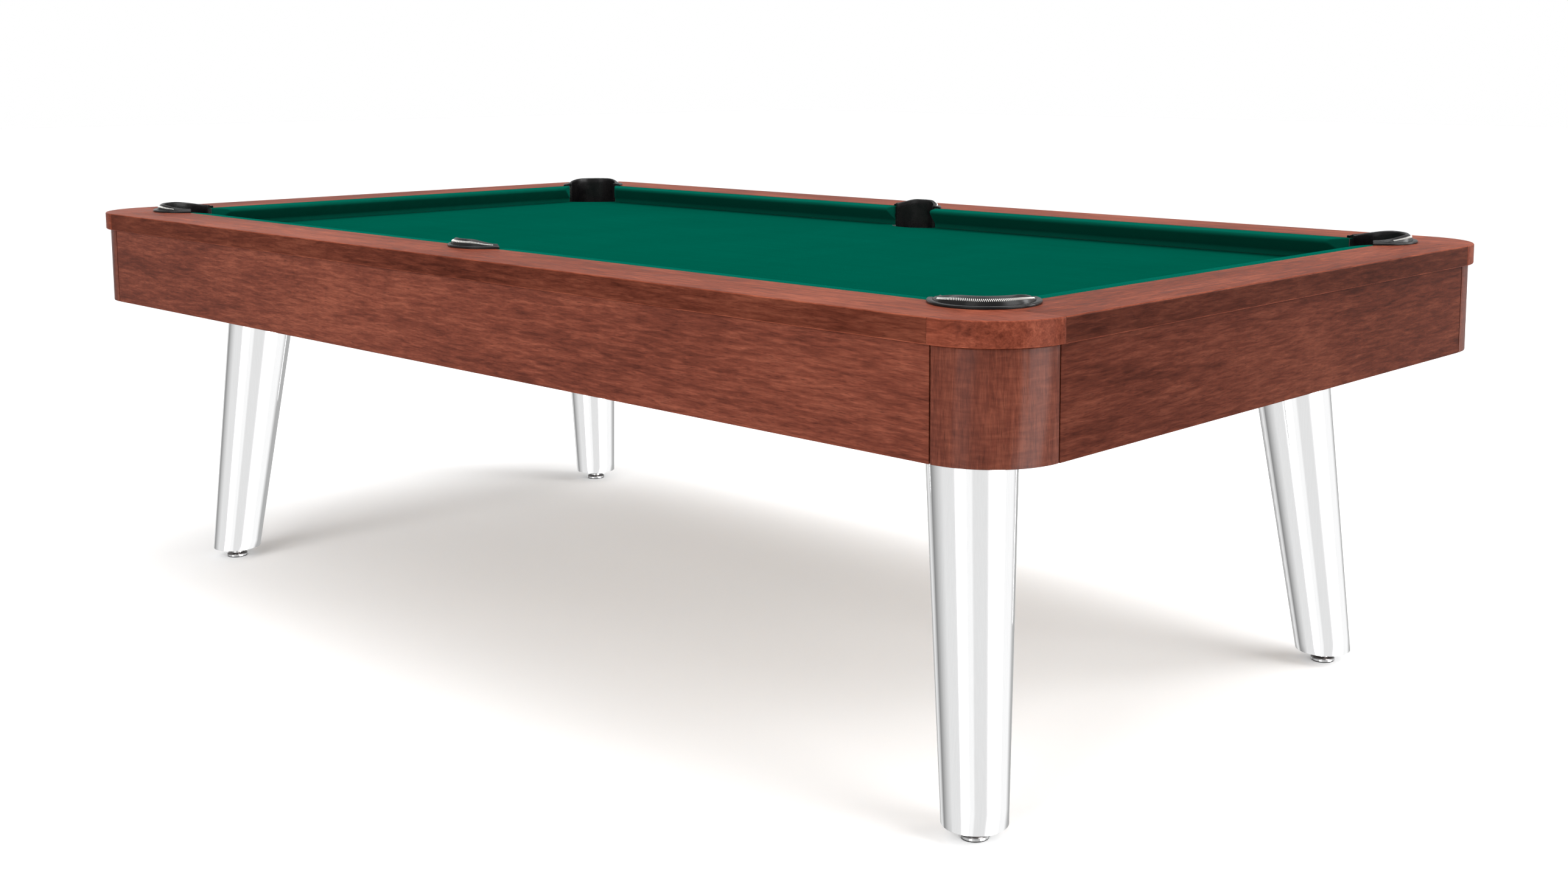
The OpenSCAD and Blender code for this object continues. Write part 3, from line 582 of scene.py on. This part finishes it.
def bed_cloth():
    """One sheet over the slates, cut at the pockets, folded down their lips and down the slates' sides."""
    hx, hy = LENGTH / 2 - CLOTH_INSET, WIDTH / 2 - CLOTH_INSET
    top = BED - 0.15 * MM
    roll, edge_roll = 3 * MM, 1 * MM
    clear = 0.2 * MM
    step = 30 * MM
    hole_margin = 14 * MM
    coords, edges, holes = [], [], []

    def ring(points):
        start = len(coords)
        coords.extend(points)
        n = len(points)
        edges.extend((start + i, start + (i + 1) % n) for i in range(n))
        return list(range(start, start + n))

    nx, ny = int(2 * hx / step), int(2 * hy / step)
    outer = [Vector((mix(-hx, hx, i / nx), -hy)) for i in range(nx)]
    outer += [Vector((hx, mix(-hy, hy, i / ny))) for i in range(ny)]
    outer += [Vector((mix(hx, -hx, i / nx), hy)) for i in range(nx)]
    outer += [Vector((-hx, mix(hy, -hy, i / ny))) for i in range(ny)]
    border = ring(outer)
    for _, kind, centre, angle in POCKETS:
        outline = lip_outline(kind, roll)
        ids = ring([place(centre, angle, x, y) for x, y, _ in outline])
        holes.append((ids, kind, centre, angle, outline))
    for i in range(1, nx):
        for j in range(1, ny):
            p = Vector((mix(-hx, hx, i / nx), mix(-hy, hy, j / ny)))
            if min((p - c).length for _, _, c, _ in POCKETS) > SLATE_HOLE_R + hole_margin:
                coords.append(p)
    flat, _, triangles, _, _, _ = geometry.delaunay_2d_cdt([Vector(c) for c in coords], edges, [], 0, 1e-7)

    def in_hole(p, kind, centre, angle):
        rel = p - centre
        x = rel.x * cos(angle) + rel.y * sin(angle)
        y = -rel.x * sin(angle) + rel.y * cos(angle)
        shelf, lip_r = SHELF[kind]
        in_round = x * x + y * y < (SLATE_HOLE_R + roll) ** 2
        return in_round and (x - lip_r + shelf) ** 2 + y * y < (lip_r + roll) ** 2

    faces = []
    for face in triangles:
        mid = sum((flat[i] for i in face), Vector((0, 0))) / len(face)
        if not any(in_hole(mid, kind, centre, angle) for _, kind, centre, angle in POCKETS):
            faces.append(tuple(face))
    verts = [Vector((p.x, p.y, top)) for p in flat]

    def join(before, row):
        n = len(row)
        faces.extend((before[i], before[(i + 1) % n], row[(i + 1) % n], row[i]) for i in range(n))

    def fold(ids, directions, depths, r):
        """Rows of vertices that roll over an edge and run down it."""
        steps = 5
        before = ids
        for k in range(1, steps + 1):
            a = pi / 2 * k / steps
            row = []
            for i, d in zip(ids, directions):
                p = verts[i]
                row.append(len(verts))
                verts.append(Vector((p.x + d.x * r * sin(a), p.y + d.y * r * sin(a), p.z - r * (1 - cos(a)))))
            join(before, row)
            before = row
        row = []
        for j, depth in zip(before, depths):
            row.append(len(verts))
            verts.append(Vector((verts[j].x, verts[j].y, verts[j].z - depth)))
        join(before, row)

    for ids, kind, centre, angle, outline in holes:
        directions = []
        for a, b in zip(outline, lip_outline(kind, clear)):
            directions.append((place(centre, angle, b[0], b[1]) - place(centre, angle, a[0], a[1])) / roll)
        depths = [mix(3 * MM, 19 * MM, smooth(4 * share)) for _, _, share in outline]
        fold(ids, directions, depths, roll - clear)
    directions = []
    for i in border:
        p = verts[i]
        d = Vector((0, 0))
        if abs(abs(p.x) - hx) < 1e-6:
            d.x = math.copysign(1, p.x)
        if abs(abs(p.y) - hy) < 1e-6:
            d.y = math.copysign(1, p.y)
        directions.append(d)
    fold(border, directions, [17 * MM] * len(border), edge_roll)
    obj = add_mesh("bed_cloth_sheet", verts, faces, CLOTH_BED, crease=60)
    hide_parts("bed_cloth")


bed_cloth()


# ---- cushion cloths ----

def bowed(a, b, shares, bow):
    """Points between a and b at the given shares, bowed upwards in the middle."""
    return [(mix(a[0], b[0], t), mix(a[1], b[1], t) + bow * sin(pi * t)) for t in shares]


def cushion_profile():
    """(distance from the rail's outer edge, height) from the groove in the wood over the nose to the bed."""
    top = CUSHION_TOP
    groove = WOOD_W + 0.5 * MM
    fold_r = 1.6 * MM
    points = [(groove, top - 5 * MM), (groove, top - 2.2 * MM)]
    points += arc((groove + fold_r, top - fold_r), fold_r, 180, 95, 5)
    points += [(WOOD_W + 5 * MM, top), (WOOD_W + 8 * MM, top), (WOOD_W + 11.5 * MM, top - 0.05 * MM)]
    nose = arc((RAIL_W - NOSE_R, BED + NOSE_HEIGHT), NOSE_R, 80, -35, 12)
    points += bowed(points[-1], nose[0], (0.2, 0.4, 0.6, 0.8), 0.25 * MM)
    points += nose
    foot = (CUSHION_FOOT, BED + 9 * MM)
    points += bowed(nose[-1], foot, (0.15, 0.3, 0.45, 0.6, 0.75, 0.9), -0.5 * MM)
    points += [foot, (CUSHION_FOOT, BED + 5 * MM), (CUSHION_FOOT, BED + 0.3 * MM)]
    return points


def reach(kind, d):
    """How far from the pocket's centre line a cushion's end face stands, at d from the rail's outer edge."""
    outwards = RAIL_W - d
    clear_r = WOOD_HOLE_R + 0.3 * MM
    u = MOUTH[kind] - SLOPE[kind] * outwards
    if kind == CORNER and abs(outwards) < clear_r:
        u = max(u, sqrt(clear_r ** 2 - outwards ** 2))
    return u


def cushion_cloth(name, kind_a, at_a, kind_b, at_b, to_world):
    """Cloth over one cushion and its ends, between the pockets centred at at_a and at_b along the rail."""
    profile = cushion_profile()
    proud = 0.6 * MM
    near = rounding(2 * MM, 6) + [(7 * MM, 0), (12 * MM, 0), (20 * MM, 0), (34 * MM, 0)]
    middle = 30
    core = (139 * MM, BED + 22 * MM)

    def along_rail(d, edge, from_b):
        """Where along the rail the cloth is, at a distance edge from one of its ends."""
        if from_b:
            return at_b - reach(kind_b, d) - edge + proud
        return at_a + reach(kind_a, d) + edge - proud

    def row(edge, shrink, from_b):
        return [(along_rail(d, edge, from_b), d, z) for d, z in inset(profile, -shrink, False)]

    def cap(edge_row, from_b):
        """Rings that close an end, shrinking from its edge to the core."""
        rings = []
        for t in (0.25, 0.5, 0.75, 1.0):
            ring = [(mix(d, core[0], t), mix(z, core[1], t)) for _, d, z in edge_row]
            rings.append([(along_rail(d, 0, from_b), d, z) for d, z in ring])
        return rings

    left = [row(edge, shrink, False) for edge, shrink in near]
    right = [row(edge, shrink, True) for edge, shrink in near]
    rows = list(left)
    for k in range(1, middle):
        rows.append([(mix(a[0], b[0], k / middle), a[1], a[2]) for a, b in zip(left[-1], right[-1])])
    rows += right[::-1]
    rows = cap(rows[0], False)[::-1] + rows + cap(rows[-1], True)
    verts, faces = grid([[to_world(*p) for p in r] for r in rows])
    obj = add_mesh(name, verts, faces, CLOTH_CUSHION, crease=50)
    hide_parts("cushion_cloths")


def long_side(sy):
    """From (along the rail, in from its outer edge, height) to the table's frame, for a long rail."""
    return lambda u, d, z: Vector((u, sy * (WIDTH / 2 - d), z))


def short_side(sx):
    """The same for a short rail."""
    return lambda u, d, z: Vector((sx * (LENGTH / 2 - d), u, z))


CORNER_X, CORNER_Y = LENGTH / 2 - RAIL_W, WIDTH / 2 - RAIL_W
for sy, side in ((-1, "front"), (1, "back")):
    where = long_side(sy)
    cushion_cloth(f"cushion_{side}_left_cloth", CORNER, -CORNER_X, SIDE, 0.0, where)
    cushion_cloth(f"cushion_{side}_right_cloth", SIDE, 0.0, CORNER, CORNER_X, where)
for sx, side in ((-1, "left"), (1, "right")):
    cushion_cloth(f"cushion_{side}_cloth", CORNER, -CORNER_Y, CORNER, CORNER_Y, short_side(sx))


# ---- pocket leathers ----

def rim_rise(t):
    """Height of the rim above the rail top: full round the back of the pocket, lower at the arms' ends.

    t goes from 0 in the middle of the collar to 1 at an arm's end.
    """
    arm_start = 0.30
    return mix(RIM_TOP - RAIL_TOP, ARM_RISE, smooth((t - arm_start) / (1 - arm_start)))


def slope_curve(t):
    """The rim's centre, and its outer slope from near the crest down to the flange."""
    centre = (POCKET_R + RIM_R, RAIL_TOP + rim_rise(t) - RIM_R)
    top = (centre[0] + RIM_R * cos(radians(50)), centre[1] + RIM_R * sin(radians(50)))
    low = (POCKET_R + 12 * MM, FLANGE_Z + FLANGE_T - 0.2 * MM)
    drop = top[1] - low[1]
    pull_top = (top[0] + 2.6 * MM, top[1] - 2.2 * MM * min(1, drop / (6 * MM)))
    pull_low = (low[0], low[1] + drop * 0.55)
    return centre, bezier(top, pull_top, pull_low, low, 9)


def collar_section(t, collar_r):
    """Closed section of the leather, as (radius, height), running up the lining and down the outside."""
    centre, slope = slope_curve(t)
    z = FLANGE_Z + FLANGE_T
    crease_r, edge_r, hem = POCKET_R + 13.3 * MM, 2.2 * MM, 3.4 * MM
    lining_steps = 8
    points = [(POCKET_R, mix(SKIRT_LOW, centre[1], k / lining_steps)) for k in range(lining_steps)]
    points += arc(centre, RIM_R, 180, 50, 9)[:-1]
    points += slope
    points += [(POCKET_R + 12.25 * MM, z - 0.95 * MM), (POCKET_R + 12.7 * MM, z - 0.55 * MM)]
    points += [(crease_r, z - 0.05 * MM)]
    points += [(mix(crease_r, collar_r - 2.4 * MM, k), z + 0.12 * MM * sin(pi * k)) for k in (0.35, 0.7)]
    points += arc((collar_r - edge_r, z - edge_r), edge_r, 90, 0, 6)
    points += [(collar_r, RAIL_TOP + 0.5 * MM), (collar_r - 0.35 * MM, RAIL_TOP + 0.05 * MM)]
    points += [(collar_r - hem, RAIL_TOP + 0.05 * MM), (collar_r - hem, FLANGE_Z)]
    points += [(SKIRT_R, FLANGE_Z), (SKIRT_R, SKIRT_LOW)]
    return points


def around(centre, angle, r, z):
    """The point at a radius and a direction from a pocket's centre."""
    return Vector((centre.x + r * cos(angle), centre.y + r * sin(angle), z))


def end_flap(centre, angle, end, span, turn):
    """Leather folded back over the iron at one end of the lining, out to the wood beside the cushion."""
    steps = 8
    tuck = 0.010  # radians either side of the lining's end
    section = ((-tuck, POCKET_R + 1.2 * MM), (tuck, POCKET_R + 1.4 * MM), (turn, IRON_R), (-tuck, IRON_R))
    rows = []
    for k in range(steps + 1):
        z = mix(BED - 24 * MM, RAIL_TOP - 1.2 * MM, k / steps)
        rows.append([around(centre, angle + end * (span + a), r, z) for a, r in section])
    verts, faces = grid(rows, closed=True)
    n, last = len(section), len(verts) - len(section)
    return verts, faces + [tuple(range(n)), tuple(range(last, last + n))]


def collar(name, kind, centre, angle):
    """Pocket leather: lining, rolled rim and flange in one swept section, with a flap at each end."""
    span, collar_r = COLLAR_SPAN[kind], COLLAR_R[kind]
    rounded_end = 0.03  # radians
    plain_span = span - rounded_end
    near = [(edge / LEATHER_MID_R, shrink) for edge, shrink in rounding(1.1 * MM, 5)]
    body = int(degrees(span) * 2 / 3)
    stations = [(-span + a, shrink) for a, shrink in near]
    stations += [(mix(-plain_span, plain_span, k / body), 0.0) for k in range(body + 1)]
    stations += [(span - a, shrink) for a, shrink in near[::-1]]
    rows = []
    for a, shrink in stations:
        section = inset(collar_section(abs(a) / span, collar_r), -shrink, True)
        rows.append([around(centre, angle + a, r, z) for r, z in section])
    verts, faces = grid(rows, closed=True)
    n = len(rows[0])
    faces += [tuple(range(n)), tuple(range(len(verts) - n, len(verts)))]
    for end in (-1, 1):
        flap_verts, flap_faces = end_flap(centre, angle, end, span, FLAP[kind])
        start = len(verts)
        verts += flap_verts
        faces += [tuple(start + i for i in face) for face in flap_faces]
    obj = add_mesh(f"pocket_leather_{name}", verts, faces, LEATHER, crease=35)
    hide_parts(f"pocket_collar_{name}")


def tube(path, radii, sides=6):
    """A closed tube of the given radii along a path."""
    verts, faces = [], []
    last = len(path) - 1
    for m, (p, r) in enumerate(zip(path, radii)):
        ahead = (path[min(m + 1, last)] - path[max(m - 1, 0)]).normalized()
        side = ahead.cross(Vector((0, 0, 1))).normalized()
        up = side.cross(ahead)
        turns = [2 * pi * q / sides for q in range(sides)]
        verts += [p + side * r * cos(a) + up * r * sin(a) for a in turns]
    for m in range(last):
        for q in range(sides):
            low, high = m * sides, (m + 1) * sides
            after = (q + 1) % sides
            faces.append((low + q, low + after, high + after, high + q))
    faces += [tuple(range(sides)), tuple(range(last * sides, (last + 1) * sides))]
    return verts, faces


def stitching(name, kind, centre, angle):
    """Short slanted stitches half-way down the outer slope, each dipping into the leather at its ends."""
    span = COLLAR_SPAN[kind]
    row_span = span * (0.70 if kind == CORNER else 0.86)
    pitch = 2.6 * MM / LEATHER_MID_R
    thread_r = 0.42 * MM
    radii = [thread_r * 0.55, *[thread_r] * 4, thread_r * 0.55]
    count = int(2 * row_span / pitch)
    verts, faces = [], []

    def on_slope(slope, place_on_slope, a, lift):
        """A point at a share of the way down the slope, lifted off the leather."""
        x = place_on_slope * (len(slope) - 1)
        i = min(int(x), len(slope) - 2)
        p = [mix(slope[i][m], slope[i + 1][m], x - i) for m in (0, 1)]
        tx, tz = slope[i + 1][0] - slope[i][0], slope[i + 1][1] - slope[i][1]
        size = sqrt(tx * tx + tz * tz)
        return around(centre, angle + a, p[0] - tz / size * lift, p[1] + tx / size * lift)

    for k in range(count + 1):
        a = -row_span + 2 * row_span * k / count
        slope = slope_curve(abs(a) / span)[1]
        path = []
        for m in range(len(radii)):
            t = m / (len(radii) - 1)
            lift = 0.45 * MM * sin(pi * t) - 0.15 * MM
            path.append(on_slope(slope, mix(0.34, 0.66, t), a + mix(-0.4, 0.4, t) * pitch, lift))
        start = len(verts)
        stitch_verts, stitch_faces = tube(path, radii)
        verts += stitch_verts
        faces += [tuple(start + i for i in face) for face in stitch_faces]
    obj = add_mesh(f"pocket_stitching_{name}", verts, faces, THREAD, crease=60)


def bucket(name, centre, angle):
    """Leather cup: a plain top band, then soft pleats that gather it into a rounded, sagging bottom."""
    outer_top, thick, round_r = SKIRT_R - 0.3 * MM, 2.2 * MM, 18 * MM
    low = BUCKET_LOW + 0.3 * MM
    wall_steps, base_steps, steps = 12, 6, 96
    profile = [(outer_top, mix(BUCKET_HIGH, low + round_r, k / wall_steps)) for k in range(wall_steps)]
    profile += arc((outer_top - round_r, low + round_r), round_r, 0, -90, 9)
    for k in range(1, base_steps + 1):
        t = k / base_steps
        profile.append((mix(outer_top - round_r, 1.5 * MM, t), low + 1.2 * MM * smooth(t)))
    inner = inset(profile, -thick, False)
    rows = []
    for r, z in profile + inner[::-1]:
        deep = smooth((BUCKET_HIGH - 12 * MM - z) / (40 * MM)) * min(1.0, r / (50 * MM))
        row = []
        for q in range(steps):
            a = 2 * pi * q / steps
            pleats = 0.8 * MM * (cos(16 * a + 0.6 * sin(3 * a)) - 1) + 0.35 * MM * (cos(7 * a) - 1)
            row.append(around(centre, angle + a, r + deep * pleats, z))
        rows.append(row)
    verts, faces = grid(rows + [rows[0]], closed=True)
    obj = add_mesh(f"pocket_bucket_{name}", verts, faces, BUCKET_LEATHER, crease=50)
    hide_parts("pocket_buckets")


for name, kind, centre, angle in POCKETS:
    collar(name, kind, centre, angle)
    stitching(name, kind, centre, angle)
    bucket(name, centre, angle)


# ---- floor, light and camera ----

FLOOR_LINES = (-30, -4, 4, 30)
floor_rows = [[Vector((x, y, 0)) for x in FLOOR_LINES] for y in FLOOR_LINES]
floor = add_mesh("studio_floor", *grid(floor_rows), floor_material("pale_floor"), body=None)
floor.visible_glossy = False  # so that the surround's bands run down the whole leg


def area_light(name, place_at, target, size, watts):
    """A rectangular softbox that faces its target."""
    data = bpy.data.lights.new(name, "AREA")
    data.shape = "RECTANGLE"
    data.size, data.size_y = size
    data.energy = watts
    obj = bpy.data.objects.new(name, data)
    obj.location = place_at
    obj.rotation_euler = (Vector(target) - Vector(place_at)).to_track_quat("-Z", "Y").to_euler()
    bpy.context.scene.collection.objects.link(obj)
    return obj


area_light("overhead_softbox", (-0.2, 0.2, 3.6), (0, 0, 0.7), (4.5, 3.0), 110)
front = area_light("front_softbox", (0.6, -4.6, 2.0), (0.2, -0.5, 0.5), (3.4, 2.4), 130)
front.visible_glossy = False  # its patch would show in the polished posts
area_light("far_end_softbox", (3.6, 3.4, 1.9), (1.2, 0.6, 0.6), (1.6, 1.6), 60)


WHITE_LEVEL, GREY_LEVEL, DARK_LEVEL = 1.0, 0.80, 0.24
SOFTBOX_LEVEL, BRIGHT_LEVEL = 2.0, 5.0
SURROUND = [  # (compass direction in degrees, level)
    (-180, 0.55), (-174, DARK_LEVEL), (-165, 0.36), (-150, 0.56), (-128, GREY_LEVEL), (-96, GREY_LEVEL),
    (-91, SOFTBOX_LEVEL), (-73, SOFTBOX_LEVEL), (-66, WHITE_LEVEL), (-53, WHITE_LEVEL),
    (-49, GREY_LEVEL), (-14, GREY_LEVEL), (-9, WHITE_LEVEL), (4, BRIGHT_LEVEL), (28, BRIGHT_LEVEL),
    (40, WHITE_LEVEL), (72, WHITE_LEVEL), (94, 0.45), (148, 0.45), (165, 0.85), (180, 0.55),
]


def studio_world():
    """White for the camera; light and reflections get upright softboxes and flags by compass direction."""
    world = bpy.data.worlds.new("studio")
    bpy.context.scene.world = world
    world.use_nodes = True
    tree = world.node_tree
    tree.nodes.clear()

    def add(kind, *sources, **settings):
        node = tree.nodes.new(kind)
        for key, value in settings.items():
            setattr(node, key, value)
        for socket, source in zip(node.inputs, sources):
            tree.links.new(source, socket)
        return node

    coords = add("ShaderNodeTexCoord")
    split = add("ShaderNodeSeparateXYZ", coords.outputs["Generated"])
    turn = add("ShaderNodeMath", split.outputs[1], split.outputs[0], operation="ARCTAN2")
    level = add("ShaderNodeMapRange", turn.outputs[0])
    for index, value in ((1, -pi), (2, pi), (3, 0.0), (4, 1.0)):
        level.inputs[index].default_value = value
    ramp = add("ShaderNodeValToRGB", level.outputs[0])
    elements = ramp.color_ramp.elements
    while len(elements) < len(SURROUND):
        elements.new(0.5)
    for element, (azimuth, value) in zip(elements, SURROUND):
        element.position = (azimuth + 180) / 360
        element.color = (value, value, value, 1)
    surround = add("ShaderNodeBackground", ramp.outputs[0])
    plain = add("ShaderNodeBackground")
    plain.inputs[0].default_value = (1, 1, 1, 1)
    path = add("ShaderNodeLightPath")
    both = add("ShaderNodeMixShader", path.outputs["Is Camera Ray"], surround.outputs[0], plain.outputs[0])
    add("ShaderNodeOutputWorld", both.outputs[0])


studio_world()

camera_data = bpy.data.cameras.new("camera")
camera_data.sensor_width = 36
camera_data.lens = 39.94
camera_data.shift_x = -0.0512
camera_data.shift_y = -0.1002
camera_data.clip_end = 200
camera = bpy.data.objects.new("camera", camera_data)
camera.location = (2.5638, -2.3637, 1.0912)
camera.rotation_euler = (radians(90 - 7.05), 0, radians(42.69))
bpy.context.scene.collection.objects.link(camera)
bpy.context.scene.camera = camera
bpy.context.scene.view_settings.view_transform = "Standard"
bpy.context.scene.view_settings.look = "None"
